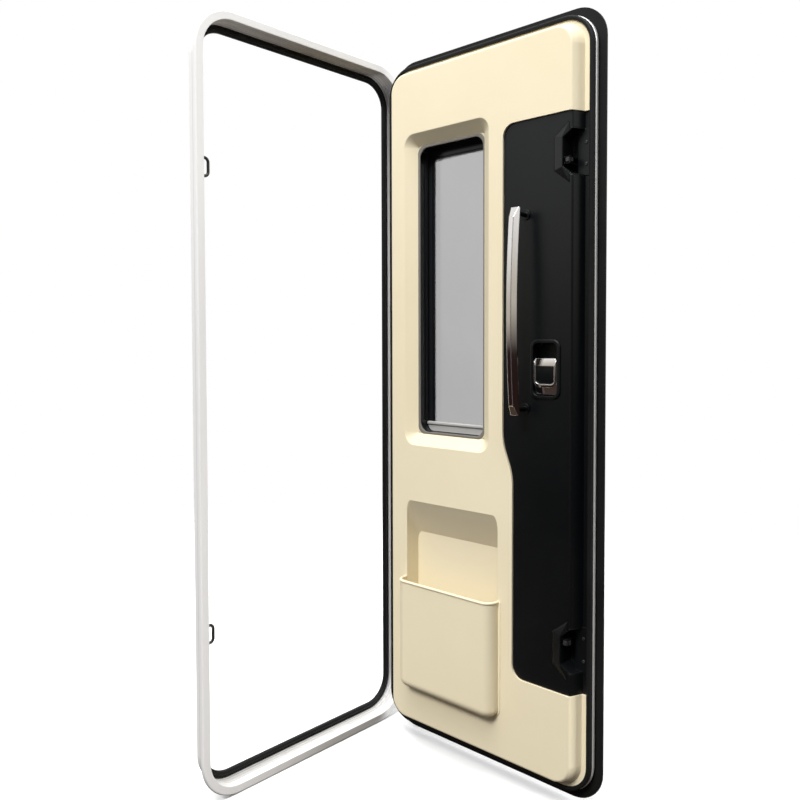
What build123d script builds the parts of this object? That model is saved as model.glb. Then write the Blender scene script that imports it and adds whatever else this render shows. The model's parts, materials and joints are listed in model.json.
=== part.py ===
from build123d import *
import math
import os

# Caravan entry door: a white frame with the leaf swung open a quarter turn.
# Millimetres, +Z up. The flange's back face, which meets the caravan wall, lies on y = 0 and looks
# along +Y. Outside is -Y, the hinge side is +X. The leaf is drawn shut, then turned about the hinge
# pins to its rest pose. Heights are counted from the frame's lower edge.

# Door frame
frame_width = 668.0
frame_height = 1800.0
frame_corner_radius = 100.0
flange_width = 20.5
flange_thickness = 8.0
flange_edge_radius = 4.0
flange_lip_radius = 1.5
reveal_wall = 2.5
reveal_depth = 53.0
rib_count = 4
rib_pitch = 5.5
rib_groove = 2.0
rib_depth = 0.8
rib_start = 22.0
frame_seal_height = 17.0
frame_seal_thickness = 6.0
frame_seal_bulb_radius = 4.5
frame_seal_round = 3.6

# Strikers on the latch jamb
striker_rod = 7.0
striker_length = 48.0
striker_reach = 38.0
striker_bend = 10.0
striker_base_thickness = 2.0
striker_base_width = 10.0
striker_base_margin = 9.0
upper_striker_drop = 351.0
lower_striker_height = 380.0
striker_seal_gap = 1.0

# Leaf edge
leaf_gap = 7.5
lip_gap = 5.0
lip_width = 18.5
hinge_side_lip = 2.0
skin_thickness = 2.0
rim_rubber = 3.0
rim_edge = 2.0
collar_height = 4.0
collar_thickness = 2.0
edge_depth = 20.0
seal_width = 10.0
seal_thickness = 12.0
seal_proud = 5.0
seal_round = 4.0
edge_wall = 10.0
edge_bead = 2.0
edge_bead_round = 1.9
panel_wall = 3.5

# Hinges
hinge_pin_inset = 35.4
hinge_pin_standoff = 34.6
upper_hinge_drop = 172.0
middle_hinge_height = 788.0
lower_hinge_height = 162.0
hinge_length = 90.0
hinge_middle_share = 38.0
hinge_pin_diameter = 7.0
hinge_pin_head = 2.0
hinge_knuckle_wall = 4.0
hinge_play = 0.25
hinge_axial_play = 0.5
hinge_plate_thickness = 3.0
hinge_plate_width = 14.0
hinge_plate_radius = 4.0
hinge_neck_rise = 12.5
hinge_cheek_foot = 2.0
hinge_neck_turn = 25.0
hinge_arm_plate_width = 62.0
hinge_arm_radius = 12.0
hinge_arm_inset = 6.0
hinge_cheek_length = 34.0
hinge_lip_clearance = 5.5
open_angle = 90.0

# Inner panel
field_height = 33.0
field_side_foot = 12.0
field_end_foot = 5.0
field_bevel = 14.0
field_edge_radius = 7.0
recess_lock_gap = 40.5
recess_hinge_margin = 82.0
recess_bottom = 784.0
recess_top_drop = 215.0
recess_depth = 23.0
recess_slope = 30.0
recess_corner_radius = 32.0
recess_edge_radius = 4.0
niche_lock_gap = 42.5
niche_hinge_margin = 88.0
niche_bottom = 170.0
niche_top = 638.0
niche_depth = 45.0
niche_slope_height = 90.0
niche_corner_radius = 14.0
niche_edge_radius = 3.0

# Pocket bin
bin_side_overlap = 5.0
bin_bottom = 154.0
bin_top = 436.0
bin_projection = 37.0
bin_wall = 3.5
bin_corner_radius = 28.0
bin_bottom_radius = 22.0

# Lock panel, let into the inner panel
lock_thickness = 2.5
lock_inset = 5.0
lock_gap = 0.3
lock_upper_width = 217.5
lock_lower_width = 189.5
lock_below_striker = 118.0
lock_above_striker = 106.0
lock_corner_radius = 30.0
step_top = 840.0
step_bottom = 712.0
step_softness = 58.0

# Window: straight-walled surround, the pane held outside the skin by the outer frame
window_depth = 39.0
window_border = 16.0
window_border_top = 25.0
window_corner_radius = 19.0
glass_corner_radius = 13.0
surround_wall = 3.0
glass_thickness = 4.0
glass_overlap = 8.0
outer_frame_overlap = 14.0
outer_frame_lip = 2.0
outer_frame_round = 2.5
trim_height = 2.0
rail_rise = 13.0
rail_plate = 4.0
rail_gap = 1.0
rail_bead_height = 8.0
rail_bead_depth = 8.0
rail_round = 2.5

# Grab handle: a bowed bar, narrow in front and wide at its back
grab_inset = 156.0
grab_bottom = 884.0
grab_top = 1355.0
grab_face_width = 12.0
grab_back_width = 26.0
grab_depth = 20.0
grab_clear = 36.0
grab_bow = 12.0
grab_tip_depth = 13.0
grab_tip_length = 22.0
grab_face_round = 1.5
grab_back_round = 3.0
grab_foot_inset = 14.0
grab_foot_diameter = 11.0
grab_foot_flange = 24.0
grab_foot_flange_thickness = 3.0

# Inside release
release_inset = 102.5
release_bottom = 930.0
release_top = 1049.0
release_width = 63.0
release_corner_radius = 12.0
release_depth = 26.0
release_wall = 2.5
bezel_bead_width = 8.0
bezel_bead_height = 3.5
bezel_bead_round = 2.5
lever_width = 60.0
lever_height = 82.0
lever_thickness = 7.0
lever_bottom_gap = 2.5
lever_pivot_lift = 7.0
lever_corner_radius = 9.0
lever_slope_height = 23.0
lever_slope_depth = 4.5
lever_boss_radius = 4.5
lever_pivot_depth = 8.0
lever_round = 2.0
lever_pin_diameter = 4.0
lever_pin_seat = 2.0
pad_width = 42.0
pad_height = 36.5
pad_lift = 26.0
pad_depth = 3.0
pad_sunk = 1.0
pad_corner_radius = 4.0

# Latches in the lock panel's edge, each under a raised hood
latch_offset = 18.0
latch_bend_inset = 38.0
latch_inner_inset = 57.0
latch_wide = 98.0
latch_narrow = 62.0
latch_wall = 2.5
latch_plate_inset = 40.5
latch_plate_proud = 2.0
latch_floor_drop = 4.5
hood_inner_inset = 82.5
hood_outer_inset = 43.0
hood_foot_narrow = 74.0
hood_foot_wide = 136.0
hood_rim_margin = 1.5
hood_rim_wide = 93.0
hood_height = 7.0
hood_fall = 6.0
claw_thickness = 8.0
claw_radius = 9.0
claw_slot = 7.0
claw_turn = 40.0
claw_hub_radius = 4.0
claw_cheek = 3.0
claw_cheek_gap = 1.0
claw_wall_gap = 1.0

# Outside handle
outer_handle_inset = 70.0
outer_handle_height = 985.0
bezel_width = 84.0
bezel_length = 150.0
bezel_thickness = 10.0
bezel_corner_radius = 16.0
bezel_round = 3.0
bezel_margin = 10.0
cup_width = 60.0
cup_length = 92.0
cup_depth = 7.0
cup_corner_radius = 10.0
pull_width = 50.0
pull_drop = 22.0
pull_tail = 10.0
pull_thickness = 6.0
pull_corner_radius = 6.0
pull_round = 2.0
cylinder_diameter = 20.0
cylinder_proud = 2.0
cylinder_seat = 9.0
cylinder_drop = 56.0
keyway_width = 2.0
keyway_length = 9.0
keyway_depth = 3.0

# How far cutting shapes run past what they cut
past = 1.0

# Worked out from the sizes above
sill = -(flange_width - reveal_wall) / 2
middle = sill + frame_height / 2
upper_striker_height = frame_height - upper_striker_drop
hinge_heights = {
    "upper": frame_height - upper_hinge_drop,
    "middle": middle_hinge_height,
    "lower": lower_hinge_height,
}
recess_top = frame_height - recess_top_drop
lock_bottom = lower_striker_height - lock_below_striker
lock_top = upper_striker_height + lock_above_striker
front = -flange_thickness
reveal_end = front + reveal_depth
seal_front = reveal_end - frame_seal_thickness
striker_y = seal_front - frame_seal_bulb_radius - striker_seal_gap - striker_rod / 2
edge_margin = flange_width + leaf_gap
lip_face = front - lip_gap
skin_back = lip_face - rim_rubber
skin_front = skin_back - skin_thickness
seat = lip_face + edge_depth
seal_foot = seat + seal_proud - seal_thickness
field = seat + field_height
lock_face = field - lock_inset
rebate = lock_inset + lock_thickness
base = seat - rebate
hinge_edge = frame_width / 2 - edge_margin
free_edge = -hinge_edge
edge_radius = frame_corner_radius - edge_margin
hinge_pin_x = frame_width / 2 - hinge_pin_inset
hinge_pin_y = front - hinge_pin_standoff
hinge_axis = Axis((hinge_pin_x, hinge_pin_y, 0), (0, 0, 1))
knuckle_radius = hinge_pin_diameter / 2 + hinge_knuckle_wall
neck_root = knuckle_radius - hinge_knuckle_wall / 2
field_slope = math.degrees(math.atan2(field_bevel, field_height))
lock_upper_left = free_edge + lock_upper_width
lock_lower_left = free_edge + lock_lower_width
recess_left = lock_upper_left + recess_lock_gap
recess_right = hinge_edge - recess_hinge_margin
niche_left = lock_lower_left + niche_lock_gap
niche_right = hinge_edge - niche_hinge_margin
window_top = field - recess_depth
glass_back = window_top - window_depth
grab_x = free_edge + grab_inset
release_x = free_edge + release_inset
release_floor = lock_face - release_depth
lever_face = lock_face
lever_axis_y = lever_face - lever_pivot_depth
lever_bottom = release_bottom + lever_bottom_gap
lever_axis_z = sill + lever_bottom + lever_pivot_lift
plate_top = base + lock_thickness + latch_plate_proud
latch_floor = base - latch_floor_drop
niche_run = niche_right - niche_left
outer_handle_x = free_edge + outer_handle_inset
handle_face = skin_front - bezel_thickness


def slab(sketch, y_low, y_high, taper=0.0):
    # A sketch drawn in x and z, thickened from y_low to y_high, which narrows by the taper on the way
    return extrude(Plane.XZ.offset(-y_low) * sketch, amount=-(y_high - y_low), taper=taper)


def cone_slab(sketch, y_wide, y_narrow, taper):
    # A sketch thickened towards -Y, narrowing on the way
    return extrude(Plane.XZ.offset(-y_wide) * sketch, amount=y_wide - y_narrow, taper=taper)


def rounded(left, right, bottom, top, radius):
    # A rounded rectangle between two x values and two heights above the sill
    place = Pos((left + right) / 2, sill + (bottom + top) / 2)
    return place * RectangleRounded(right - left, top - bottom, radius)


def frame_outline(inset):
    half = frame_width / 2 - inset
    return rounded(-half, half, inset, frame_height - inset, frame_corner_radius - inset)


def edge_outline(inset):
    return frame_outline(edge_margin + inset)


def lip_outline(inset):
    left = free_edge - lip_width + inset
    right = hinge_edge + hinge_side_lip - inset
    low = edge_margin - lip_width + inset
    return rounded(left, right, low, frame_height - low, edge_radius + hinge_side_lip - inset)


def field_outline(inset):
    # Foot of the raised field, wider from the edge at the sides than at the ends
    half = hinge_edge - seal_width - field_side_foot - inset
    low = edge_margin + seal_width + field_end_foot + inset
    radius = edge_radius - seal_width - field_end_foot - inset
    return rounded(-half, half, low, frame_height - low, radius)


def swing(shape):
    return shape.rotate(hinge_axis, open_angle)


def tube_along_z(x, y, radius, z_low, z_high):
    return Pos(x, y, z_low) * extrude(Circle(radius), amount=z_high - z_low)


def tube_along_x(radius, length):
    # On the release lever's axis, centred on the lever
    place = Pos(release_x - length / 2, lever_axis_y, lever_axis_z) * Rotation(0, 90, 0)
    return place * extrude(Circle(radius), amount=length)


def make_outer_frame():
    flange = slab(frame_outline(0) - frame_outline(flange_width), front, 0)
    rim = flange.faces().sort_by(Axis.Y)[0].outer_wire().edges()
    flange = fillet(rim, flange_edge_radius)
    lip = flange.faces().sort_by(Axis.Y)[0].inner_wires()[0].edges()
    flange = fillet(lip, flange_lip_radius)
    wall_ring = frame_outline(flange_width - reveal_wall) - frame_outline(flange_width)
    body = flange + slab(wall_ring, front + flange_thickness / 2, reveal_end)
    groove_ring = frame_outline(flange_width - rib_depth) - frame_outline(flange_width)
    for rib in range(rib_count):
        y = front + rib_start + rib * rib_pitch
        body -= slab(groove_ring, y, y + rib_groove)
    return body


def make_frame_seal():
    tip = flange_width + frame_seal_height
    fin = slab(frame_outline(flange_width) - frame_outline(tip), seal_front, reveal_end)
    bulb_ring = frame_outline(tip - 2 * frame_seal_bulb_radius) - frame_outline(tip)
    bulb = slab(bulb_ring, seal_front - frame_seal_bulb_radius, seal_front)
    lips = bulb.faces().sort_by(Axis.Y)[0].edges()
    return fin + fillet(lips, frame_seal_round)


def make_striker(height):
    wall_x = -(frame_width / 2 - flange_width)
    z = sill + height
    base_length = striker_length + 2 * striker_base_margin
    foot = Pos(wall_x + striker_base_thickness / 2, striker_y, z) * Box(
        striker_base_thickness, striker_base_width, base_length)
    foot = fillet(foot.edges().filter_by(Axis.X), striker_rod / 2)
    tip_x = wall_x + striker_reach - striker_rod / 2
    half = striker_length / 2 - striker_rod / 2
    path = FilletPolyline(
        (wall_x, striker_y, z - half),
        (tip_x, striker_y, z - half),
        (tip_x, striker_y, z + half),
        (wall_x, striker_y, z + half),
        radius=striker_bend,
    )
    rod = sweep(Plane(origin=path @ 0, z_dir=path % 0) * Circle(striker_rod / 2), path=path)
    return foot + rod


def hinge_spans(height):
    # Heights of the frame's knuckle and of the two knuckles of the leaf
    z = sill + height
    half = hinge_length / 2
    inner = hinge_middle_share / 2
    own = (z - inner, z + inner)
    low = (z - half, z - inner - hinge_axial_play)
    high = (z + inner + hinge_axial_play, z + half)
    return own, low, high


def make_hinge_bracket(height):
    # Plate on the flange, and a neck that reaches round the leaf's edge to the pin
    own, _, _ = hinge_spans(height)
    plate_right = frame_width / 2 - flange_edge_radius
    plate_left = plate_right - hinge_plate_width
    neck_left = hinge_edge + hinge_side_lip + hinge_lip_clearance
    plate_y = front - hinge_plate_thickness
    turn = math.radians(hinge_neck_turn)
    neck = Polyline(
        (plate_right, plate_y),
        (plate_right, hinge_pin_y + knuckle_radius),
        (hinge_pin_x + neck_root * math.sin(turn), hinge_pin_y - neck_root * math.cos(turn)),
        (hinge_pin_x, hinge_pin_y),
        (neck_left, hinge_pin_y + hinge_neck_rise),
        (neck_left, plate_y),
        close=True,
    )
    body = Pos(0, 0, own[0]) * extrude(make_face(neck), amount=own[1] - own[0])
    body += tube_along_z(hinge_pin_x, hinge_pin_y, knuckle_radius, *own)
    place = Pos((plate_left + plate_right) / 2, front - hinge_plate_thickness / 2, sill + height)
    plate = place * Box(hinge_plate_width, hinge_plate_thickness, hinge_length)
    body += fillet(plate.edges().filter_by(Axis.Y), hinge_plate_radius)
    bore = hinge_pin_diameter / 2
    return body - tube_along_z(hinge_pin_x, hinge_pin_y, bore, own[0] - past, own[1] + past)


def make_hinge_pin(height):
    _, low, high = hinge_spans(height)
    top = high[1] + hinge_pin_head
    pin = tube_along_z(hinge_pin_x, hinge_pin_y, hinge_pin_diameter / 2, low[0] - hinge_pin_head, top)
    head_radius = knuckle_radius - hinge_pin_head / 2
    return pin + tube_along_z(hinge_pin_x, hinge_pin_y, head_radius, high[1] + hinge_axial_play, top)


def make_hinge_arm(height):
    # Plate on the outer skin with a knuckle at each end
    _, low, high = hinge_spans(height)
    plate_right = hinge_edge - hinge_arm_inset
    plate_left = plate_right - hinge_arm_plate_width
    place = Pos((plate_left + plate_right) / 2, skin_front - hinge_plate_thickness / 2, sill + height)
    plate = place * Box(hinge_arm_plate_width, hinge_plate_thickness, hinge_length)
    body = fillet(plate.edges().filter_by(Axis.Y).group_by(Axis.X)[0], hinge_arm_radius)
    plate_y = skin_front - hinge_plate_thickness
    cheek_left = plate_right - hinge_cheek_length
    turn = math.radians(hinge_neck_turn)
    cheek = make_face(Polyline(
        (plate_right, plate_y + hinge_plate_thickness / 2),
        (hinge_pin_x + neck_root * math.cos(turn), hinge_pin_y + neck_root * math.sin(turn)),
        (hinge_pin_x, hinge_pin_y),
        (hinge_pin_x - neck_root * math.sin(turn), hinge_pin_y - neck_root * math.cos(turn)),
        (cheek_left, plate_y - hinge_cheek_foot),
        (cheek_left, plate_y + hinge_plate_thickness / 2),
        close=True,
    ))
    for span in (low, high):
        body += Pos(0, 0, span[0]) * extrude(cheek, amount=span[1] - span[0])
        body += tube_along_z(hinge_pin_x, hinge_pin_y, knuckle_radius, *span)
    bore = hinge_pin_diameter / 2 + hinge_play
    return body - tube_along_z(hinge_pin_x, hinge_pin_y, bore, low[0] - past, high[1] + past)


def window_opening(grow):
    inset = recess_slope - grow
    return rounded(recess_left + inset, recess_right - inset, recess_bottom + inset, recess_top - inset,
                   window_corner_radius)


def glass_opening(grow):
    inset = recess_slope + window_border - grow
    top = recess_top - recess_slope - window_border_top + grow
    return rounded(recess_left + inset, recess_right - inset, recess_bottom + inset, top, glass_corner_radius)


def make_outer_skin():
    sheet = slab(lip_outline(rim_edge), skin_front, skin_back)
    return sheet - slab(window_opening(0), skin_front - past, skin_back + past)


def make_rim_seal():
    inner = slab(lip_outline(0) - edge_outline(0), skin_back, lip_face)
    edge = slab(lip_outline(0) - lip_outline(rim_edge), skin_front, skin_back)
    collar = slab(edge_outline(-collar_thickness) - edge_outline(0), lip_face, lip_face + collar_height)
    return inner + edge + collar


def make_edge_profile():
    outer = slab(edge_outline(0) - edge_outline(seal_width), skin_back, seal_foot)
    inner = slab(edge_outline(seal_width) - edge_outline(seal_width + edge_wall), skin_back, base)
    bead = slab(edge_outline(-edge_bead), lip_face + collar_height, seal_foot)
    rims = bead.edges().filter_by(lambda e: e.length > past)
    bead = fillet(rims, edge_bead_round) - slab(edge_outline(0), skin_back, seat)
    return outer + inner + bead


def make_leaf_seal():
    band = slab(edge_outline(0) - edge_outline(seal_width), seal_foot, seat + seal_proud)
    lips = band.faces().sort_by(Axis.Y)[-1].edges()
    return fillet(lips, seal_round)


def raised_field(drop):
    # The field with sloped sides and a rounded edge, lowered by the drop
    block = slab(field_outline(0), seat - drop, field - drop, taper=field_slope)
    return fillet(block.faces().sort_by(Axis.Y)[-1].edges(), field_edge_radius)


def field_hollow(drop):
    # The space behind the lowered field
    foot = field_outline(panel_wall)
    return slab(foot, base - past, seat - drop) + slab(
        foot, seat - drop, field - drop - panel_wall, taper=field_slope)


def recess_block(grow):
    slope = math.degrees(math.atan2(recess_slope, recess_depth))
    mouth = rounded(recess_left - grow, recess_right + grow, recess_bottom - grow, recess_top + grow,
                    recess_corner_radius)
    return cone_slab(mouth, field, window_top, slope)


def niche_block(grow):
    # Seen from the side: a flat back, an upright front and a sloped top
    back = field - niche_depth - grow
    low = sill + niche_bottom - grow
    high = sill + niche_top + grow
    side = make_face(Polyline(
        (field, low),
        (back, low),
        (back, high - niche_slope_height),
        (field, high),
        close=True,
    ))
    block = extrude(Plane.YZ.offset(niche_left - grow) * side, amount=niche_right - niche_left + 2 * grow)
    corners = block.edges().filter_by(
        lambda e: e.length < niche_run
        and abs(e.center().Y - field) > past
        and abs(e.center().Y - back) > past)
    return fillet(corners, niche_corner_radius)


def mouth_edges(shape, low, high):
    # Edges on the field's face between two heights and between the lock panel and the hinge side
    return shape.edges().filter_by(
        lambda e: abs(e.center().Y - field) < past / 2
        and lock_lower_left < e.center().X < recess_right + past
        and sill + low - past < e.center().Z < sill + high + past)


def latch_middle(height):
    # Each latch lies a little further from the door's middle than its striker
    side = 1 if sill + height > middle else -1
    return sill + height + side * latch_offset


def latch_hole(height, grow):
    # Wide at the free edge, narrowing inwards
    z = latch_middle(height)
    outer_x = free_edge + seal_width
    bend_x = free_edge + latch_bend_inset
    inner_x = free_edge + latch_inner_inset + grow
    wide = latch_wide / 2 + grow
    narrow = latch_narrow / 2 + grow
    return make_face(Polyline(
        (outer_x, z - wide),
        (bend_x, z - wide),
        (inner_x, z - narrow),
        (inner_x, z + narrow),
        (bend_x, z + wide),
        (outer_x, z + wide),
        close=True,
    ))


def release_outline(grow):
    half = release_width / 2 + grow
    return rounded(release_x - half, release_x + half, release_bottom - grow, release_top + grow,
                   release_corner_radius + grow)


def lock_outline(grow):
    # Straight outer side, and an inner side that steps across in a soft S above its lower half
    low = sill + lock_bottom - grow
    high = sill + lock_top + grow
    lower = lock_lower_left + grow
    upper = lock_upper_left + grow
    r = lock_corner_radius + grow
    bend_top = sill + step_top
    bend_low = sill + step_bottom
    return make_face([
        Line((free_edge, low), (lower - r, low)),
        RadiusArc((lower - r, low), (lower, low + r), -r),
        Line((lower, low + r), (lower, bend_low)),
        Bezier((lower, bend_low), (lower, bend_low + step_softness), (upper, bend_top - step_softness),
               (upper, bend_top)),
        Line((upper, bend_top), (upper, high - r)),
        RadiusArc((upper, high - r), (upper - r, high), -r),
        Line((upper - r, high), (free_edge, high)),
        Line((free_edge, high), (free_edge, low)),
    ])


def make_inner_panel():
    # A moulded shell: flange, raised field, window recess, niche, and a lowered bed for the lock panel
    form = slab(edge_outline(seal_width), base, seat) + raised_field(0) + niche_block(panel_wall)
    form = form - recess_block(0) - niche_block(0)
    form = fillet(mouth_edges(form, recess_bottom, recess_top), recess_edge_radius)
    form = fillet(mouth_edges(form, niche_bottom, niche_top), niche_edge_radius)
    bed = slab(lock_outline(0), base - past, field + past)
    form = form - bed + (raised_field(rebate) & bed)
    under_bed = slab(lock_outline(panel_wall), base - 2 * past, field + past)
    hollow = field_hollow(0) - under_bed + (field_hollow(rebate) & under_bed)
    hollow -= slab(window_opening(panel_wall), window_top - panel_wall, field)
    panel = form - (hollow - recess_block(panel_wall) - niche_block(panel_wall))
    panel -= slab(window_opening(0), base - past, field)
    for height in (upper_striker_height, lower_striker_height):
        panel -= slab(latch_hole(height, latch_wall), base - past, field + past)
    return panel - slab(release_outline(release_wall), base - past, field)


def make_lock_panel():
    skin = raised_field(lock_inset) + slab(edge_outline(seal_width), base, base + lock_thickness)
    panel = (skin & slab(lock_outline(-lock_gap), base, field)) - raised_field(rebate)
    for height in (upper_striker_height, lower_striker_height):
        panel -= slab(latch_hole(height, latch_wall), base - past, field)
    return panel - slab(release_outline(release_wall), base - past, field)


def make_latch_hood(height):
    # Raised round the hole, falling towards the free edge
    z = latch_middle(height)
    outer_x = free_edge + hood_outer_inset
    inner_x = free_edge + hood_inner_inset
    rim_x = free_edge + latch_inner_inset + hood_rim_margin

    def outline(x, wide, narrow):
        return make_face(Polyline((outer_x, z - wide / 2), (x, z - narrow / 2), (x, z + narrow / 2),
                                  (outer_x, z + wide / 2), close=True))

    foot = Plane.XZ.offset(-lock_face) * outline(inner_x, hood_foot_wide, hood_foot_narrow)
    rim = Plane.XZ.offset(-lock_face - hood_height) * outline(
        rim_x, hood_rim_wide, latch_narrow + 2 * hood_rim_margin)
    hood = loft([foot, rim], ruled=True)
    top = lock_face + hood_height
    fall = make_face(Polyline((rim_x, top), (outer_x, top - hood_fall), (outer_x, top + past),
                              (rim_x, top + past), close=True))
    return hood - Pos(0, 0, z - hood_foot_wide) * extrude(fall, amount=2 * hood_foot_wide)


def make_latch_housing(height):
    # Open towards the frame and the room: an edge plate, a deeper well, walls, a hood and the claw's cheeks
    wall_hole = latch_hole(height, latch_wall)
    well_x = free_edge + latch_plate_inset
    inner_x = free_edge + latch_inner_inset
    z = latch_middle(height)
    well = latch_hole(height, 0) & Pos((well_x + inner_x) / 2, z) * Rectangle(inner_x - well_x, latch_wide)
    well_wall = wall_hole & Pos((well_x + inner_x) / 2, z) * Rectangle(
        inner_x - well_x + 2 * latch_wall, latch_wide + 2 * latch_wall)
    body = slab(wall_hole, base, lock_face) & (
        raised_field(lock_inset) + slab(edge_outline(seal_width), base, plate_top))
    body += slab(well_wall, latch_floor - latch_wall, base)
    body += make_latch_hood(height)
    body -= slab(latch_hole(height, 0), plate_top, lock_face + hood_height + past)
    body -= slab(well, latch_floor, plate_top)
    cheek_left = inner_x - claw_wall_gap - claw_radius - claw_hub_radius
    cheek_top = striker_y + claw_hub_radius
    for side in (-1, 1):
        offset = side * (claw_thickness / 2 + claw_cheek_gap + claw_cheek / 2)
        place = Pos((cheek_left + inner_x) / 2, (latch_floor + cheek_top) / 2, sill + height + offset)
        body += place * Box(inner_x - cheek_left, cheek_top - latch_floor, claw_cheek)
    return body


def make_latch_claw(height):
    # Hook turned back to its released position, beside the striker's path
    x = free_edge + latch_inner_inset - claw_wall_gap - claw_radius
    slot = Pos(-claw_radius, 0) * SlotOverall(claw_radius + claw_slot + claw_hub_radius, claw_slot)
    plate = Circle(claw_radius) - Rotation(0, 0, -claw_turn) * slot
    plate += Circle(claw_hub_radius)
    hub_length = claw_thickness + 2 * claw_cheek_gap
    place = Pos(x, striker_y, sill + height)
    claw = place * Pos(0, 0, -claw_thickness / 2) * extrude(plate, amount=claw_thickness)
    return claw + place * Pos(0, 0, -hub_length / 2) * extrude(Circle(claw_hub_radius), amount=hub_length)


def make_pocket_bin():
    low = sill + bin_bottom
    high = sill + bin_top

    def box(shrink):
        left = niche_left - bin_side_overlap + shrink
        right = niche_right + bin_side_overlap - shrink
        depth = bin_projection - shrink
        body = Pos((left + right) / 2, field + depth / 2, (low + shrink + high) / 2) * Box(
            right - left, depth, high - low - shrink)
        uprights = body.edges().filter_by(Axis.Z).group_by(Axis.Y)[-1]
        body = fillet(uprights, bin_corner_radius - shrink)
        sole = body.faces().sort_by(Axis.Z)[0].edges().filter_by(lambda e: e.center().Y > field + past)
        return fillet(sole, bin_bottom_radius - shrink)

    return box(0) - Pos(0, -past, past) * box(bin_wall)


def make_window_surround():
    walls = slab(window_opening(0) - window_opening(-surround_wall), glass_back, window_top)
    return walls + slab(window_opening(0) - glass_opening(0), glass_back, glass_back + surround_wall)


def make_window_glass():
    return slab(glass_opening(glass_overlap), glass_back - glass_thickness, glass_back)


def make_window_outer_frame():
    glass_front = glass_back - glass_thickness
    outline = window_opening(outer_frame_overlap)
    ring = slab(outline - glass_opening(0), glass_front - outer_frame_lip, skin_front)
    ring = fillet(ring.faces().sort_by(Axis.Y)[0].outer_wire().edges(), outer_frame_round)
    ring -= slab(glass_opening(glass_overlap), glass_front, glass_back)
    return ring - slab(window_opening(0), glass_back, skin_front)


def make_window_trim():
    # Thin bead on the surround's upper edge
    return slab(window_opening(0) - window_opening(-surround_wall), window_top, window_top + trim_height)


def make_blind_rail():
    # The blind's lower bar: a plate that fills the opening's foot, with a bead along its top
    inset = recess_slope + surround_wall + rail_gap
    left = recess_left + inset
    right = recess_right - inset
    low = sill + recess_bottom + inset
    top = sill + recess_bottom + recess_slope + window_border + rail_rise
    back = glass_back + surround_wall
    middle_x = (left + right) / 2
    lower_part = Pos(middle_x, (low + top) / 2) * Rectangle(right - left, top - low)
    plate = slab(window_opening(-surround_wall - rail_gap) & lower_part, back, back + rail_plate)
    place = Pos(middle_x, back + rail_bead_depth / 2, top - rail_bead_height / 2)
    bead = place * Box(right - left, rail_bead_depth, rail_bead_height)
    return plate + fillet(bead.edges().filter_by(Axis.X), rail_round)


def make_grab_handle():
    # A trapezium turned about a far axis, with slanted tips
    low = sill + grab_bottom
    high = sill + grab_top
    half_way = (low + high) / 2
    half = (high - low) / 2
    back = lock_face + grab_clear + grab_bow
    face = back + grab_depth
    far = (half * half + grab_bow * grab_bow) / (2 * grab_bow)
    turn = math.degrees(math.asin(half / far))
    section = make_face(Polyline(
        (grab_x - grab_back_width / 2, back),
        (grab_x + grab_back_width / 2, back),
        (grab_x + grab_face_width / 2, face),
        (grab_x - grab_face_width / 2, face),
        close=True,
    ))
    axis = Axis((0, face - far, half_way), (1, 0, 0))
    bar = revolve(Pos(0, 0, half_way) * section, axis, 2 * turn).rotate(axis, -turn)
    end_face = face - grab_bow
    for level, way in ((low, 1), (high, -1)):
        tip = make_face(Polyline(
            (end_face + grab_depth, level + way * (grab_tip_length + grab_depth)),
            (end_face, level + way * grab_tip_length),
            (end_face - grab_tip_depth, level),
            (end_face - grab_tip_depth, level - way * grab_depth),
            (end_face + grab_depth, level - way * grab_depth),
            close=True,
        ))
        bar -= extrude(Plane.YZ.offset(grab_x - grab_back_width) * tip, amount=2 * grab_back_width)
    long_edges = bar.edges().filter_by(lambda e: e.length > half)
    front_edges = long_edges.filter_by(lambda e: abs(e.center().X - grab_x) < grab_back_width / 2 - past)
    bar = fillet(front_edges, grab_face_round)
    long_edges = bar.edges().filter_by(lambda e: e.length > half)
    back_edges = long_edges.filter_by(lambda e: abs(e.center().X - grab_x) > grab_back_width / 2 - past)
    return fillet(back_edges, grab_back_round)


def make_handle_foot(z):
    # Post from the lock panel up to the underside of the grip
    place = Pos(grab_x, z)
    post = slab(place * Circle(grab_foot_diameter / 2), lock_face, lock_face + grab_clear + grab_depth / 2)
    plinth = slab(place * Circle(grab_foot_flange / 2), lock_face, lock_face + grab_foot_flange_thickness)
    return post + plinth - make_grab_handle()


def make_release_cup():
    cup = slab(release_outline(release_wall), release_floor - release_wall, lock_face)
    bead = slab(release_outline(bezel_bead_width), lock_face, lock_face + bezel_bead_height)
    bead = fillet(bead.faces().sort_by(Axis.Y)[-1].edges(), bezel_bead_round)
    cup = cup + bead - slab(release_outline(0), release_floor, lock_face + bezel_bead_height)
    return cup - tube_along_x(lever_pin_diameter / 2, release_width + 2 * lever_pin_seat)


def make_release_lever():
    # Plate with a boss behind its foot, where the pin runs; its lower face slopes back
    low = sill + lever_bottom
    plate = Pos(release_x, lever_face - lever_thickness / 2, low + lever_height / 2) * Box(
        lever_width, lever_thickness, lever_height)
    plate = fillet(plate.edges().filter_by(Axis.Y), lever_corner_radius)
    plate = fillet(plate.faces().sort_by(Axis.Y)[-1].edges(), lever_round)
    slope = make_face(Polyline(
        (lever_face, low + lever_slope_height),
        (lever_face - lever_slope_depth, low),
        (lever_face - lever_slope_depth, low - past),
        (lever_face + past, low - past),
        (lever_face + past, low + lever_slope_height),
        close=True,
    ))
    plate -= extrude(Plane.YZ.offset(release_x - lever_width) * slope, amount=2 * lever_width)
    plate += tube_along_x(lever_boss_radius, lever_width - 2 * lever_corner_radius)
    plate -= slab(pad_outline(), lever_face - pad_depth, lever_face + past)
    return plate - tube_along_x(lever_pin_diameter / 2 + hinge_play, 2 * lever_width)


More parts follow.
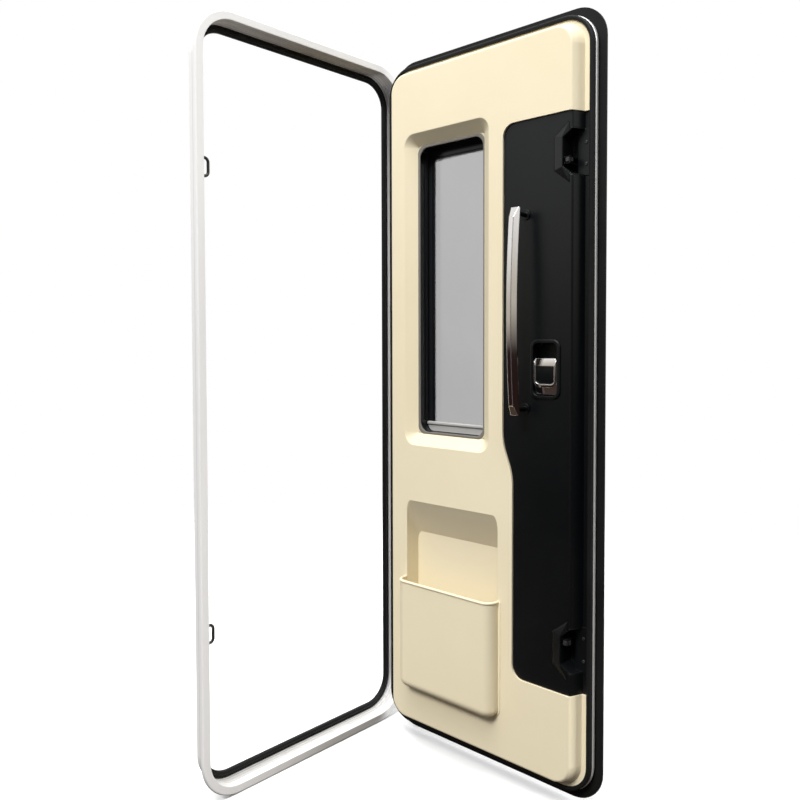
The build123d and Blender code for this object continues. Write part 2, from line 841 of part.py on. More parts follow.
def pad_outline():
    low = lever_bottom + pad_lift
    half = pad_width / 2
    return rounded(release_x - half, release_x + half, low, low + pad_height, pad_corner_radius)


def make_lever_pad():
    return slab(pad_outline(), lever_face - pad_depth, lever_face - pad_sunk)


def handle_cup():
    top = outer_handle_height + bezel_length / 2 - bezel_margin
    return top - cup_length, top


def make_outer_handle_bezel():
    half = bezel_width / 2
    low = outer_handle_height - bezel_length / 2
    plate = slab(rounded(outer_handle_x - half, outer_handle_x + half, low, low + bezel_length,
                         bezel_corner_radius), handle_face, skin_front)
    plate = fillet(plate.faces().sort_by(Axis.Y)[0].edges(), bezel_round)
    cup_low, cup_top = handle_cup()
    cup = rounded(outer_handle_x - cup_width / 2, outer_handle_x + cup_width / 2, cup_low, cup_top,
                  cup_corner_radius)
    plate -= slab(cup, handle_face - past, handle_face + cup_depth)
    bore = Pos(outer_handle_x, sill + outer_handle_height - cylinder_drop) * Circle(cylinder_diameter / 2)
    return plate - slab(bore, handle_face - past, handle_face + cylinder_seat)


def make_outer_handle_pull():
    cup_low, cup_top = handle_cup()
    half = pull_width / 2
    back = handle_face + cup_depth
    outline = rounded(outer_handle_x - half, outer_handle_x + half, cup_low + pull_tail, cup_top - pull_drop,
                      pull_corner_radius)
    flap = slab(outline, back - pull_thickness, back)
    return fillet(flap.faces().sort_by(Axis.Y)[0].edges(), pull_round)


def make_lock_cylinder():
    place = Pos(outer_handle_x, sill + outer_handle_height - cylinder_drop)
    tip = handle_face - cylinder_proud
    plug = slab(place * Circle(cylinder_diameter / 2), tip, handle_face + cylinder_seat)
    return plug - slab(place * Rectangle(keyway_width, keyway_length), tip - past, tip + keyway_depth)


fixed = {
    "outer_frame": make_outer_frame(),
    "frame_seal": make_frame_seal(),
    "upper_striker": make_striker(upper_striker_height),
    "lower_striker": make_striker(lower_striker_height),
}
moving = {
    "outer_skin": make_outer_skin(),
    "rim_seal": make_rim_seal(),
    "edge_profile": make_edge_profile(),
    "leaf_seal": make_leaf_seal(),
    "inner_panel": make_inner_panel(),
    "lock_panel": make_lock_panel(),
    "pocket_bin": make_pocket_bin(),
    "window_surround": make_window_surround(),
    "window_trim": make_window_trim(),
    "window_glass": make_window_glass(),
    "window_outer_frame": make_window_outer_frame(),
    "blind_rail": make_blind_rail(),
    "grab_handle": make_grab_handle(),
    "upper_handle_foot": make_handle_foot(sill + grab_top - grab_foot_inset),
    "lower_handle_foot": make_handle_foot(sill + grab_bottom + grab_foot_inset),
    "release_cup": make_release_cup(),
    "release_pin": tube_along_x(lever_pin_diameter / 2, release_width + 2 * lever_pin_seat),
    "release_lever": make_release_lever(),
    "lever_pad": make_lever_pad(),
    "upper_latch_housing": make_latch_housing(upper_striker_height),
    "lower_latch_housing": make_latch_housing(lower_striker_height),
    "upper_latch_claw": make_latch_claw(upper_striker_height),
    "lower_latch_claw": make_latch_claw(lower_striker_height),
    "outer_handle_bezel": make_outer_handle_bezel(),
    "outer_handle_pull": make_outer_handle_pull(),
    "lock_cylinder": make_lock_cylinder(),
}
for name, height in hinge_heights.items():
    fixed[f"{name}_hinge_bracket"] = make_hinge_bracket(height)
    fixed[f"{name}_hinge_pin"] = make_hinge_pin(height)
    moving[f"{name}_hinge_arm"] = make_hinge_arm(height)

os.makedirs("parts", exist_ok=True)
for name, shape in fixed.items():
    export_step(shape, f"parts/{name}.step")
for name, shape in moving.items():
    export_step(swing(shape), f"parts/{name}.step")
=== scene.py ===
import bmesh
import bpy
import json
import math
from mathutils import Matrix, Vector


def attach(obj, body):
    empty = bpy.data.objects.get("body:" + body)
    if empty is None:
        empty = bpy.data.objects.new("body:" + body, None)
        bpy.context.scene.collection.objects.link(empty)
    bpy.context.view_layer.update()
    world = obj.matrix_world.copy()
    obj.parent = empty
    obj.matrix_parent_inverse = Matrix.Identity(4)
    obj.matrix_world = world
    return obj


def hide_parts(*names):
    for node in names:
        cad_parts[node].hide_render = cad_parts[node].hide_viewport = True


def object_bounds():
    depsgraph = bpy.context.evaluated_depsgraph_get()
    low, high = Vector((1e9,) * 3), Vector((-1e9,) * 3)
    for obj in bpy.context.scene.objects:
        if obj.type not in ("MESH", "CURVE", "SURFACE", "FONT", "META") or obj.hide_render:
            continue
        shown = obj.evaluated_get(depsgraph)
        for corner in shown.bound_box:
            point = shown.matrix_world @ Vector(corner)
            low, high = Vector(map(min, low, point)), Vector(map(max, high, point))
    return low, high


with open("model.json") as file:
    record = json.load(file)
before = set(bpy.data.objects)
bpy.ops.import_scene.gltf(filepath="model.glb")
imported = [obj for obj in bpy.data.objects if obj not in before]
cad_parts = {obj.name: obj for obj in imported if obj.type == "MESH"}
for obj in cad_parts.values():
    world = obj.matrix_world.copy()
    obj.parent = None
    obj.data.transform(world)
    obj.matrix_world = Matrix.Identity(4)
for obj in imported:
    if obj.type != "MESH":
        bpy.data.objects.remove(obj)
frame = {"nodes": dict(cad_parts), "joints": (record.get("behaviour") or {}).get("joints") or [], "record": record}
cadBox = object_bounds()
nodes = frame["nodes"]
hingePin = Vector(frame["joints"][0]["pos_m"])
sillDrop = 0.009  # heights are counted from the frame's lower edge, this far under the origin
edgeAngle = math.radians(40)  # edges sharper than this are rounded
smoothAngle = math.radians(38)  # and those flatter than this are shaded smooth
onLine = 0.0002  # metres within which a vertex counts as lying on a line
print("frame loaded,", len(nodes), "nodes")


def onLeaf(x, y, height):
    # millimetres on the shut leaf, as the drawing has them, to metres on the open leaf
    return Vector((hingePin.x - (y / 1000 - hingePin.y), hingePin.y + x / 1000 - hingePin.x,
                   height / 1000 - sillDrop))


def onFrame(x, y, height):
    # the same for the fixed frame, which the drawing has in place
    return Vector((x / 1000, y / 1000, height / 1000 - sillDrop))


def startClean():
    if bpy.context.object and bpy.context.object.mode != "OBJECT":
        bpy.ops.object.mode_set(mode="OBJECT")
    bpy.ops.object.select_all(action="DESELECT")


# selects what passes a test among the faces, edges or verts of the piece in edit mode
def pick(piece, kind, test):
    bpy.ops.mesh.select_mode(type=kind)
    bpy.ops.mesh.select_all(action="DESELECT")
    shell = bmesh.from_edit_mesh(piece.data)
    for part in {"FACE": shell.faces, "EDGE": shell.edges, "VERT": shell.verts}[kind]:
        part.select_set(bool(test(part)))
    bmesh.update_edit_mesh(piece.data)


def makeActive(piece):
    startClean()
    piece.select_set(True)
    bpy.context.view_layer.objects.active = piece


# rounds every sharp edge of a piece, by a width in millimetres
def softEdges(piece, width, steps=3):
    makeActive(piece)
    soft = piece.modifiers.new("soft", "BEVEL")
    soft.width = width / 1000
    soft.segments = steps
    soft.limit_method = "ANGLE"
    soft.angle_limit = edgeAngle
    bpy.ops.object.modifier_apply(modifier="soft")


# takes one piece out of another and throws it away
def cutAway(piece, cutter):
    cut = piece.modifiers.new("cut", "BOOLEAN")
    cut.object = cutter
    makeActive(piece)
    bpy.ops.object.modifier_apply(modifier="cut")
    bpy.data.objects.remove(cutter)


# a flat sheet with round corners about the origin, left in edit mode with all of it selected
def roundedSheet(name, width, height, corner, steps=10):
    startClean()
    bpy.ops.mesh.primitive_plane_add(size=1)
    piece = bpy.context.active_object
    piece.name = name
    piece.scale = (width / 1000, height / 1000, 1)
    bpy.ops.object.transform_apply(scale=True)
    bpy.ops.object.mode_set(mode="EDIT")
    bpy.ops.mesh.select_all(action="SELECT")
    if corner:
        bpy.ops.mesh.bevel(offset=corner / 1000, segments=steps, affect="VERTICES")
        bpy.ops.mesh.select_all(action="SELECT")
    return piece


# gives the open sheet in edit mode its thickness, upwards
def thicken(thick):
    bpy.ops.mesh.select_all(action="SELECT")
    bpy.ops.mesh.extrude_region_move(TRANSFORM_OT_translate={"value": (0, 0, thick / 1000)})
    bpy.ops.mesh.select_all(action="SELECT")
    bpy.ops.mesh.normals_make_consistent(inside=False)
    bpy.ops.object.mode_set(mode="OBJECT")


def roundedBand(name, width, height, corner, band, thick):
    piece = roundedSheet(name, width, height, corner)
    bpy.ops.mesh.inset(thickness=band / 1000)
    bpy.ops.mesh.delete(type="FACE")
    thicken(thick)
    return piece


# puts a piece drawn flat about the origin on its spot, its top looking the given way
def setOn(piece, spot, facing):
    right = Vector((0, 0, 1)).cross(facing)
    turn = Matrix((right, (0, 0, 1), facing)).transposed().to_4x4()
    piece.data.transform(Matrix.Translation(spot) @ turn)
    piece.data.update()


# gives a finished piece its material and body, and shades it smooth
def dress(piece, finish, body):
    piece.data.materials.clear()
    piece.data.materials.append(finish)
    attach(piece, body)
    makeActive(piece)
    bpy.ops.object.shade_smooth_by_angle(angle=smoothAngle)


roomSide = Vector((-1, 0, 0))  # where the open leaf's inner face looks
skinSide = Vector((1, 0, 0))


def addNode(tree, kind, values=None, **settings):
    made = tree.nodes.new(kind)
    for key, value in settings.items():
        setattr(made, key, value)
    for key, value in (values or {}).items():
        made.inputs[key].default_value = value
    return made


def newGroup(name, inputs, outputs):
    group = bpy.data.node_groups.new(name, "ShaderNodeTree")
    for label, kind, start in inputs:
        group.interface.new_socket(label, in_out="INPUT", socket_type=kind).default_value = start
    for label, kind in outputs:
        group.interface.new_socket(label, in_out="OUTPUT", socket_type=kind)
    return group, group.nodes.new("NodeGroupInput"), group.nodes.new("NodeGroupOutput")


def mathNode(tree, operation, a, b=None):
    made = addNode(tree, "ShaderNodeMath", operation=operation)
    for place, value in ((0, a), (1, b)):
        if value is None:
            continue
        if isinstance(value, (int, float)):
            made.inputs[place].default_value = value
        else:
            tree.links.new(value, made.inputs[place])
    return made.outputs[0]


# moulded grain: a fine height for Bump and a mask that wanders slowly over the surface
def makeGrainGroup():
    tree, ins, outs = newGroup("mouldGrain", [
        ("Fine Scale", "NodeSocketFloat", 1400.0), ("Drift Scale", "NodeSocketFloat", 3.0)],
        [("Height", "NodeSocketFloat"), ("Drift", "NodeSocketFloat")])
    place = addNode(tree, "ShaderNodeTexCoord").outputs["Object"]
    cells = addNode(tree, "ShaderNodeTexVoronoi", {"Randomness": 1.0}, feature="F1")
    speck = addNode(tree, "ShaderNodeTexNoise", {"Detail": 3.0, "Roughness": 0.6})
    drift = addNode(tree, "ShaderNodeTexNoise", {"Detail": 4.0, "Roughness": 0.55})
    for made, socket in ((cells, "Fine Scale"), (speck, "Fine Scale"), (drift, "Drift Scale")):
        tree.links.new(place, made.inputs["Vector"])
        tree.links.new(ins.outputs[socket], made.inputs["Scale"])
    pebbles = mathNode(tree, "MULTIPLY", cells.outputs["Distance"], 0.6)
    tree.links.new(mathNode(tree, "ADD", pebbles, speck.outputs["Fac"]), outs.inputs["Height"])
    tree.links.new(drift.outputs["Fac"], outs.inputs["Drift"])
    return tree


# fine lines that run with a profile, from coordinates stretched along it
def makeBrushGroup():
    tree, ins, outs = newGroup("brushLines", [
        ("Stretch", "NodeSocketVector", (1.0, 1.0, 1.0)), ("Scale", "NodeSocketFloat", 900.0)],
        [("Streak", "NodeSocketFloat")])
    place = addNode(tree, "ShaderNodeTexCoord").outputs["Object"]
    scaled = addNode(tree, "ShaderNodeVectorMath", operation="MULTIPLY")
    tree.links.new(place, scaled.inputs[0])
    tree.links.new(ins.outputs["Stretch"], scaled.inputs[1])
    lines = addNode(tree, "ShaderNodeTexNoise", {"Detail": 4.0, "Roughness": 0.65})
    tree.links.new(scaled.outputs[0], lines.inputs["Vector"])
    tree.links.new(ins.outputs["Scale"], lines.inputs["Scale"])
    tree.links.new(lines.outputs["Fac"], outs.inputs["Streak"])
    return tree


# dust that settles low down and in soft patches
def makeDustGroup():
    tree, ins, outs = newGroup("settledDust", [
        ("Amount", "NodeSocketFloat", 0.2), ("Top", "NodeSocketFloat", 0.9)], [("Mask", "NodeSocketFloat")])
    place = addNode(tree, "ShaderNodeTexCoord").outputs["Object"]
    split = addNode(tree, "ShaderNodeSeparateXYZ")
    tree.links.new(place, split.inputs[0])
    low = addNode(tree, "ShaderNodeMapRange", {"From Min": 0.0, "To Min": 1.0, "To Max": 0.25})
    tree.links.new(split.outputs["Z"], low.inputs["Value"])
    tree.links.new(ins.outputs["Top"], low.inputs["From Max"])
    patch = addNode(tree, "ShaderNodeTexNoise", {"Scale": 9.0, "Detail": 6.0, "Roughness": 0.62})
    tree.links.new(place, patch.inputs["Vector"])
    mask = mathNode(tree, "MULTIPLY", low.outputs[0], patch.outputs["Fac"])
    mask = mathNode(tree, "MULTIPLY", mask, ins.outputs["Amount"])
    tree.links.new(mask, outs.inputs["Mask"])
    return tree


mouldGrain = makeGrainGroup()
brushLines = makeBrushGroup()
settledDust = makeDustGroup()


def useGroup(tree, group, values):
    made = tree.nodes.new("ShaderNodeGroup")
    made.node_tree = group
    for key, value in values.items():
        made.inputs[key].default_value = value
    return made


def mixColours(tree, mask, first, second):
    made = addNode(tree, "ShaderNodeMix", data_type="RGBA")
    for place, value in ((0, mask), (6, first), (7, second)):
        if isinstance(value, tuple):
            made.inputs[place].default_value = (*value, 1.0)
        else:
            tree.links.new(value, made.inputs[place])
    return made.outputs[2]


def spread(tree, value, low, high, start=0.0, end=1.0):
    limits = {"From Min": start, "From Max": end, "To Min": low, "To Max": high}
    made = addNode(tree, "ShaderNodeMapRange", limits)
    tree.links.new(value, made.inputs["Value"])
    return made.outputs[0]


# grain over an edge that is rounded by a hair, in millimetres
def bumpFrom(tree, height, strength, distance, edge):
    made = addNode(tree, "ShaderNodeBump", {"Strength": strength, "Distance": distance})
    tree.links.new(height, made.inputs["Height"])
    rounded = addNode(tree, "ShaderNodeBevel", {"Radius": edge / 1000})
    tree.links.new(rounded.outputs[0], made.inputs["Normal"])
    return made.outputs[0]


def newMaterial(name):
    made = bpy.data.materials.new(name)
    made.use_nodes = True
    return made, made.node_tree, made.node_tree.nodes["Principled BSDF"]


# painted shade for shallow grooves: lines that run round the frame with its drawn profile, at set depths into the
# wall
def makeGrooveShadeGroup():
    tree, ins, outs = newGroup("grooveShadeLines", [
        ("First", "NodeSocketFloat", 0.006), ("Step", "NodeSocketFloat", 0.009),
        ("Last", "NodeSocketFloat", 0.03), ("Width", "NodeSocketFloat", 0.001)],
        [("Line", "NodeSocketFloat")])
    split = addNode(tree, "ShaderNodeSeparateXYZ")
    tree.links.new(addNode(tree, "ShaderNodeTexCoord").outputs["Object"], split.inputs[0])
    inward = mathNode(tree, "SUBTRACT", split.outputs["Y"], ins.outputs["First"])
    apart = addNode(tree, "ShaderNodeMath", operation="PINGPONG")
    tree.links.new(inward, apart.inputs[0])
    tree.links.new(mathNode(tree, "DIVIDE", ins.outputs["Step"], 2.0), apart.inputs[1])
    near = mathNode(tree, "DIVIDE", apart.outputs[0], ins.outputs["Width"])
    line = mathNode(tree, "SUBTRACT", 1.0, mathNode(tree, "MINIMUM", near, 1.0))
    start = mathNode(tree, "GREATER_THAN", mathNode(tree, "ADD", inward, ins.outputs["Width"]), 0.0)
    end = mathNode(tree, "LESS_THAN", split.outputs["Y"], ins.outputs["Last"])
    within = mathNode(tree, "MULTIPLY", start, end)
    tree.links.new(mathNode(tree, "MULTIPLY", line, within), outs.inputs["Line"])
    return tree


grooveShadeLines = makeGrooveShadeGroup()


noiseRange, noiseMiddle = (0.3, 0.7), (0.35, 0.65)  # where nearly all and most of a noise's values lie


# a coated or moulded surface: two near tones, grain (scale, strength, depth, drift) and dust (amount, tone)
def mouldedFinish(name, tones, rough, grain, dust, metal=0.0, coat=0.0, shine=0.5, edge=0.8):
    made, tree, shader = newMaterial(name)
    shader.inputs["Specular IOR Level"].default_value = shine
    fineScale, strength, depth, driftScale = grain
    amount, dustTone = dust
    grainNode = useGroup(tree, mouldGrain, {"Fine Scale": fineScale, "Drift Scale": driftScale})
    dustNode = useGroup(tree, settledDust, {"Amount": amount})
    drift = grainNode.outputs["Drift"]
    tone = mixColours(tree, spread(tree, drift, 0, 1, *noiseMiddle), *tones)
    tone = mixColours(tree, dustNode.outputs["Mask"], tone, dustTone)
    tree.links.new(tone, shader.inputs["Base Color"])
    tree.links.new(spread(tree, drift, *rough, *noiseRange), shader.inputs["Roughness"])
    bump = bumpFrom(tree, grainNode.outputs["Height"], strength, depth, edge)
    tree.links.new(bump, shader.inputs["Normal"])
    shader.inputs["Metallic"].default_value = metal
    shader.inputs["Coat Weight"].default_value = coat
    return made


brushDepth = 0.0001  # metres


# bare metal with drawn or brushed lines
def brushedFinish(name, tones, rough, stretch, scale, strength, edge=0.5, metal=1.0):
    made, tree, shader = newMaterial(name)
    streak = useGroup(tree, brushLines, {"Stretch": stretch, "Scale": scale}).outputs["Streak"]
    tone = mixColours(tree, spread(tree, streak, 0, 1, *noiseRange), *tones)
    tree.links.new(tone, shader.inputs["Base Color"])
    tree.links.new(spread(tree, streak, *rough, *noiseRange), shader.inputs["Roughness"])
    tree.links.new(bumpFrom(tree, streak, strength, brushDepth, edge), shader.inputs["Normal"])
    shader.inputs["Metallic"].default_value = metal
    return made


paleDust, greyDust, warmDust = (0.62, 0.58, 0.50), (0.55, 0.52, 0.47), (0.60, 0.50, 0.34)
darkDust, sootDust = (0.30, 0.29, 0.26), (0.25, 0.24, 0.22)
finishes = {
    "white_frame": mouldedFinish("frameWhite", ((0.87, 0.862, 0.85), (0.84, 0.832, 0.82)), (0.30, 0.40),
                                 (700.0, 0.10, 0.0002, 2.0), (0.10, greyDust)),
    "white_skin": mouldedFinish("skinWhite", ((0.80, 0.80, 0.79), (0.77, 0.77, 0.76)), (0.16, 0.26),
                                (240.0, 0.05, 0.0002, 2.0), (0.06, greyDust), coat=0.3),
    "black_rubber": mouldedFinish("sealRubber", ((0.0055, 0.006, 0.006), (0.0085, 0.009, 0.0088)),
                                  (0.44, 0.58), (900.0, 0.25, 0.0002, 6.0), (0.015, sootDust), shine=0.17),
    "cream_moulding": mouldedFinish("creamMoulding", ((0.835, 0.748, 0.545), (0.805, 0.713, 0.505)),
                                    (0.36, 0.46), (1300.0, 0.16, 0.00025, 2.5), (0.05, warmDust), shine=0.35),
    "black_panel": mouldedFinish("lockBlack", ((0.0021, 0.0028, 0.0034), (0.0029, 0.0037, 0.0043)),
                                 (0.27, 0.35), (1500.0, 0.22, 0.0002, 3.0), (0.004, darkDust), shine=0.33,
                                 edge=2.4),
    "black_trim": mouldedFinish("glossBlack", ((0.0090, 0.0102, 0.0118), (0.0115, 0.0125, 0.0142)),
                                (0.14, 0.22), (500.0, 0.03, 0.0001, 4.0), (0.01, darkDust), shine=0.3),
    "grey_trim": mouldedFinish("trimGrey", ((0.20, 0.188, 0.165), (0.16, 0.15, 0.132)), (0.26, 0.36),
                               (1200.0, 0.12, 0.0002, 6.0), (0.05, paleDust)),
    "black_steel": mouldedFinish("coatedSteel", ((0.013, 0.013, 0.014), (0.022, 0.022, 0.022)), (0.26, 0.38),
                                 (1600.0, 0.12, 0.0001, 20.0), (0.08, sootDust), coat=0.3),
    "hinge_white": mouldedFinish("hingeWhite", ((0.76, 0.76, 0.75), (0.71, 0.71, 0.70)), (0.30, 0.42),
                                 (900.0, 0.12, 0.0002, 5.0), (0.08, greyDust)),
    "bare_aluminium": brushedFinish("drawnAluminium", ((0.71, 0.71, 0.69), (0.66, 0.66, 0.64)), (0.42, 0.48),
                                    (1.0, 1.0, 0.02), 2600.0, 0.004, metal=0.6),
    "chrome": brushedFinish("brightChrome", ((0.80, 0.78, 0.765), (0.75, 0.73, 0.72)), (0.045, 0.075),
                            (1.0, 1.0, 0.1), 400.0, 0.01, edge=2.6),
    "steel": brushedFinish("plainSteel", ((0.55, 0.55, 0.55), (0.44, 0.44, 0.44)), (0.26, 0.38),
                           (1.0, 0.1, 1.0), 2400.0, 0.10),
}

# the tone is painted groove shade, mixed into the white coat at this share along each line
grooveShadeSet = {"places": {"First": 0.004, "Step": 0.0095, "Last": 0.036, "Width": 0.0011}, "share": 0.55,
           "tone": (0.33, 0.32, 0.31)}  # places in metres into the wall


# the frame's reveal gets dark lines of painted shade, standing in for its grooves, on top of its white coat
def shadeFrameGrooves():
    tree = finishes["white_frame"].node_tree
    shader = tree.nodes["Principled BSDF"]
    lines = useGroup(tree, grooveShadeLines, grooveShadeSet["places"])
    tone = shader.inputs["Base Color"].links[0].from_socket
    shaded = mathNode(tree, "MULTIPLY", lines.outputs["Line"], grooveShadeSet["share"])
    tree.links.new(mixColours(tree, shaded, tone, grooveShadeSet["tone"]), shader.inputs["Base Color"])


shadeFrameGrooves()

glassSet = {"tones": ((0.44, 0.435, 0.44), (0.48, 0.475, 0.478)), "rough": (0.0, 0.03), "ior": 1.49}


def makePane():
    made, tree, shader = newMaterial("tintedPane")
    drift = useGroup(tree, mouldGrain, {"Fine Scale": 60.0, "Drift Scale": 4.0}).outputs["Drift"]
    tree.links.new(mixColours(tree, drift, *glassSet["tones"]), shader.inputs["Base Color"])
    tree.links.new(spread(tree, drift, *glassSet["rough"]), shader.inputs["Roughness"])
    shader.inputs["Transmission Weight"].default_value = 1.0
    shader.inputs["IOR"].default_value = glassSet["ior"]
    return made


finishes["window_pane"] = makePane()
railFinish = mouldedFinish("railSatin", ((0.62, 0.61, 0.59), (0.56, 0.55, 0.535)), (0.34, 0.44),
                           (1800.0, 0.05, 0.0001, 9.0), (0.03, paleDust), metal=0.35, edge=0.6)
slotOf = {row["node"]: row["material_slot"] for row in frame["record"]["subparts"]}
for name, node in nodes.items():
    node.data.materials.clear()
    node.data.materials.append(railFinish if name == "blind_rail" else finishes[slotOf[name]])
print("finishes:", len(finishes))


# distance inwards from the edge of a rounded rectangle that stands in the open leaf's plane, in metres
def makeReachGroup():
    tree, ins, outs = newGroup("edgeReach", [
        ("Middle", "NodeSocketVector", (0.0, 0.0, 0.0)), ("Half Width", "NodeSocketFloat", 0.1),
        ("Half Height", "NodeSocketFloat", 0.1), ("Corner", "NodeSocketFloat", 0.01)],
        [("Reach", "NodeSocketFloat")])
    place = addNode(tree, "ShaderNodeTexCoord").outputs["Object"]
    off = addNode(tree, "ShaderNodeVectorMath", operation="SUBTRACT")
    tree.links.new(place, off.inputs[0])
    tree.links.new(ins.outputs["Middle"], off.inputs[1])
    split = addNode(tree, "ShaderNodeSeparateXYZ")
    tree.links.new(off.outputs[0], split.inputs[0])
    corner = ins.outputs["Corner"]
    past = []
    for side, half in (("Y", "Half Width"), ("Z", "Half Height")):
        straight = mathNode(tree, "SUBTRACT", ins.outputs[half], corner)
        past.append(mathNode(tree, "SUBTRACT", mathNode(tree, "ABSOLUTE", split.outputs[side]), straight))
    far = [mathNode(tree, "POWER", mathNode(tree, "MAXIMUM", value, 0.0), 2.0) for value in past]
    bend = mathNode(tree, "SQRT", mathNode(tree, "ADD", far[0], far[1]))
    near = mathNode(tree, "MINIMUM", mathNode(tree, "MAXIMUM", past[0], past[1]), 0.0)
    reach = mathNode(tree, "SUBTRACT", corner, mathNode(tree, "ADD", bend, near))
    tree.links.new(reach, outs.inputs["Reach"])
    return tree


edgeReach = makeReachGroup()

paneSet = {"x": 88.0, "height": 1180.0, "width": 180.0, "tall": 700.0, "corner": 13.0,
           "inner": -22.0, "outer": -26.0,
           "fritWide": 10.0, "fritPitch": 2.4, "fritThick": 0.15, "fritStart": 0.5, "dotSizes": (0.74, 0.1),
           "fritTones": ((0.004, 0.004, 0.005), (0.008, 0.008, 0.009)), "fritRough": (0.3, 0.4), "clear": 0.2,
           "gasketWide": 3.6, "gasketThick": 1.3, "gasketSoft": 0.5, "gasketPast": 0.4}


# the dotted black edge that is printed on the pane
def makeFrit():
    made, tree, shader = newMaterial("fritDots")
    middle = onLeaf(paneSet["x"], paneSet["inner"], paneSet["height"])
    reach = useGroup(tree, edgeReach, {
        "Middle": middle, "Half Width": paneSet["width"] / 2000, "Half Height": paneSet["tall"] / 2000,
        "Corner": paneSet["corner"] / 1000})
    turned = addNode(tree, "ShaderNodeMapping", {"Rotation": (math.radians(45), 0.0, 0.0)})
    tree.links.new(addNode(tree, "ShaderNodeTexCoord").outputs["Object"], turned.inputs["Vector"])
    split = addNode(tree, "ShaderNodeSeparateXYZ")
    tree.links.new(turned.outputs[0], split.inputs[0])
    flat = addNode(tree, "ShaderNodeCombineXYZ")
    tree.links.new(split.outputs["Y"], flat.inputs["X"])
    tree.links.new(split.outputs["Z"], flat.inputs["Y"])
    dots = addNode(tree, "ShaderNodeTexVoronoi", {"Scale": 1000 / paneSet["fritPitch"], "Randomness": 0.0},
                   feature="F1", voronoi_dimensions="2D")
    tree.links.new(flat.outputs[0], dots.inputs["Vector"])
    wide = spread(tree, reach.outputs["Reach"], *paneSet["dotSizes"], paneSet["fritStart"] / 1000,
                  paneSet["fritWide"] / 1000)
    tree.links.new(mathNode(tree, "LESS_THAN", dots.outputs["Distance"], wide), shader.inputs["Alpha"])
    drift = useGroup(tree, mouldGrain, {"Fine Scale": 900.0, "Drift Scale": 8.0}).outputs["Drift"]
    tree.links.new(mixColours(tree, drift, *paneSet["fritTones"]), shader.inputs["Base Color"])
    tree.links.new(spread(tree, drift, *paneSet["fritRough"]), shader.inputs["Roughness"])
    frit = roundedBand("glassFrit", paneSet["width"] - paneSet["clear"], paneSet["tall"] - paneSet["clear"],
                       paneSet["corner"], paneSet["fritWide"], paneSet["fritThick"])
    setOn(frit, middle, roomSide)
    dress(frit, made, "leaf")


# the thin seal round the pane on the skin side
def makePaneGasket():
    past = paneSet["gasketPast"]
    gasket = roundedBand("paneGasket", paneSet["width"] + past, paneSet["tall"] + past, paneSet["corner"],
                         paneSet["gasketWide"], paneSet["gasketThick"])
    softEdges(gasket, paneSet["gasketSoft"])
    setOn(gasket, onLeaf(paneSet["x"], paneSet["outer"], paneSet["height"]), skinSide)
    dress(gasket, finishes["black_rubber"], "leaf")


makeFrit()
makePaneGasket()
print("pane edge and gasket made")

trimSet = {"left": -19.0, "right": 195.0, "low": 813.0, "high": 1556.0, "corner": 20.0,
           "inLeft": -15.5, "inRight": 188.0, "inLow": 818.5, "inHigh": 1549.5, "inCorner": 26.0,
           "seat": 15.5, "thick": 3.4, "round": 1.1}


# the grey ring round the window's mouth, wider on top and on the hinge side
def makeTrimRing():
    left, right, low, high = (trimSet[key] for key in ("left", "right", "low", "high"))
    ring = roundedSheet("windowTrimRing", right - left, high - low, trimSet["corner"])
    thicken(trimSet["thick"])
    x, height = (left + right) / 2, (low + high) / 2
    inLeft, inRight, inLow, inHigh = (trimSet[key] for key in ("inLeft", "inRight", "inLow", "inHigh"))
    hole = roundedSheet("trimHole", inRight - inLeft, inHigh - inLow, trimSet["inCorner"], steps=14)
    thicken(3 * trimSet["thick"])
    hole.data.transform(Matrix.Translation((  # right on the sheet is towards the lock
        (x - (inLeft + inRight) / 2) / 1000, ((inLow + inHigh) / 2 - height) / 1000, -trimSet["thick"] / 1000)))
    cutAway(ring, hole)
    softEdges(ring, trimSet["round"])
    setOn(ring, onLeaf(x, trimSet["seat"], height), roomSide)
    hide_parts("window_trim")
    dress(ring, finishes["grey_trim"], "leaf")


makeTrimRing()
print("window trim made")

guideSet = {"low": 846.0, "high": 1549.0, "wide": 9.0, "rise": 3.2, "y": -9.0,
            "hingeWall": 191.2, "lockWall": -15.2, "groove": 2.6, "grooveDeep": 1.8, "soft": 0.6}


# slim channels that the blind's ends run in: one is modelled and its copy turned to the other wall
def makeGuides():
    startClean()
    tall = guideSet["high"] - guideSet["low"]
    bpy.ops.mesh.primitive_cube_add(size=1, location=(0, 0, guideSet["rise"] / 2000))
    guide = bpy.context.active_object
    guide.name = "blindGuide_hinge"
    guide.scale = (guideSet["wide"] / 1000, tall / 1000, guideSet["rise"] / 1000)
    bpy.ops.object.transform_apply(location=True, scale=True)
    bpy.ops.object.mode_set(mode="EDIT")
    pick(guide, "FACE", lambda face: face.normal.z > 0.9)
    bpy.ops.mesh.inset(thickness=guideSet["groove"] / 1000)
    bpy.ops.mesh.extrude_region_move(TRANSFORM_OT_translate={"value": (0, 0, -guideSet["grooveDeep"] / 1000)})
    bpy.ops.object.mode_set(mode="OBJECT")
    softEdges(guide, guideSet["soft"], steps=2)
    other = guide.copy()
    other.data = guide.data.copy()
    other.name = "blindGuide_lock"
    bpy.context.scene.collection.objects.link(other)
    middle = (guideSet["low"] + guideSet["high"]) / 2
    for piece, wall, way in ((guide, "hingeWall", -1), (other, "lockWall", 1)):
        setOn(piece, onLeaf(guideSet[wall], guideSet["y"], middle), Vector((0, way, 0)))
        dress(piece, finishes["black_trim"], "leaf")


makeGuides()
print("blind guides made")

binSet = {"left": -79.0, "right": 223.0, "back": 40.0, "front": 77.0, "corner": 28.0, "low": 154.0,
          "lowCorner": 22.0, "lip": 433.0, "bead": 3.4, "inset": 1.4, "flange": 5.0, "flangeThick": 2.2,
          "flangeLap": 1.5, "flangeSoft": 0.7, "flangeSink": 0.1, "spare": 80.0}


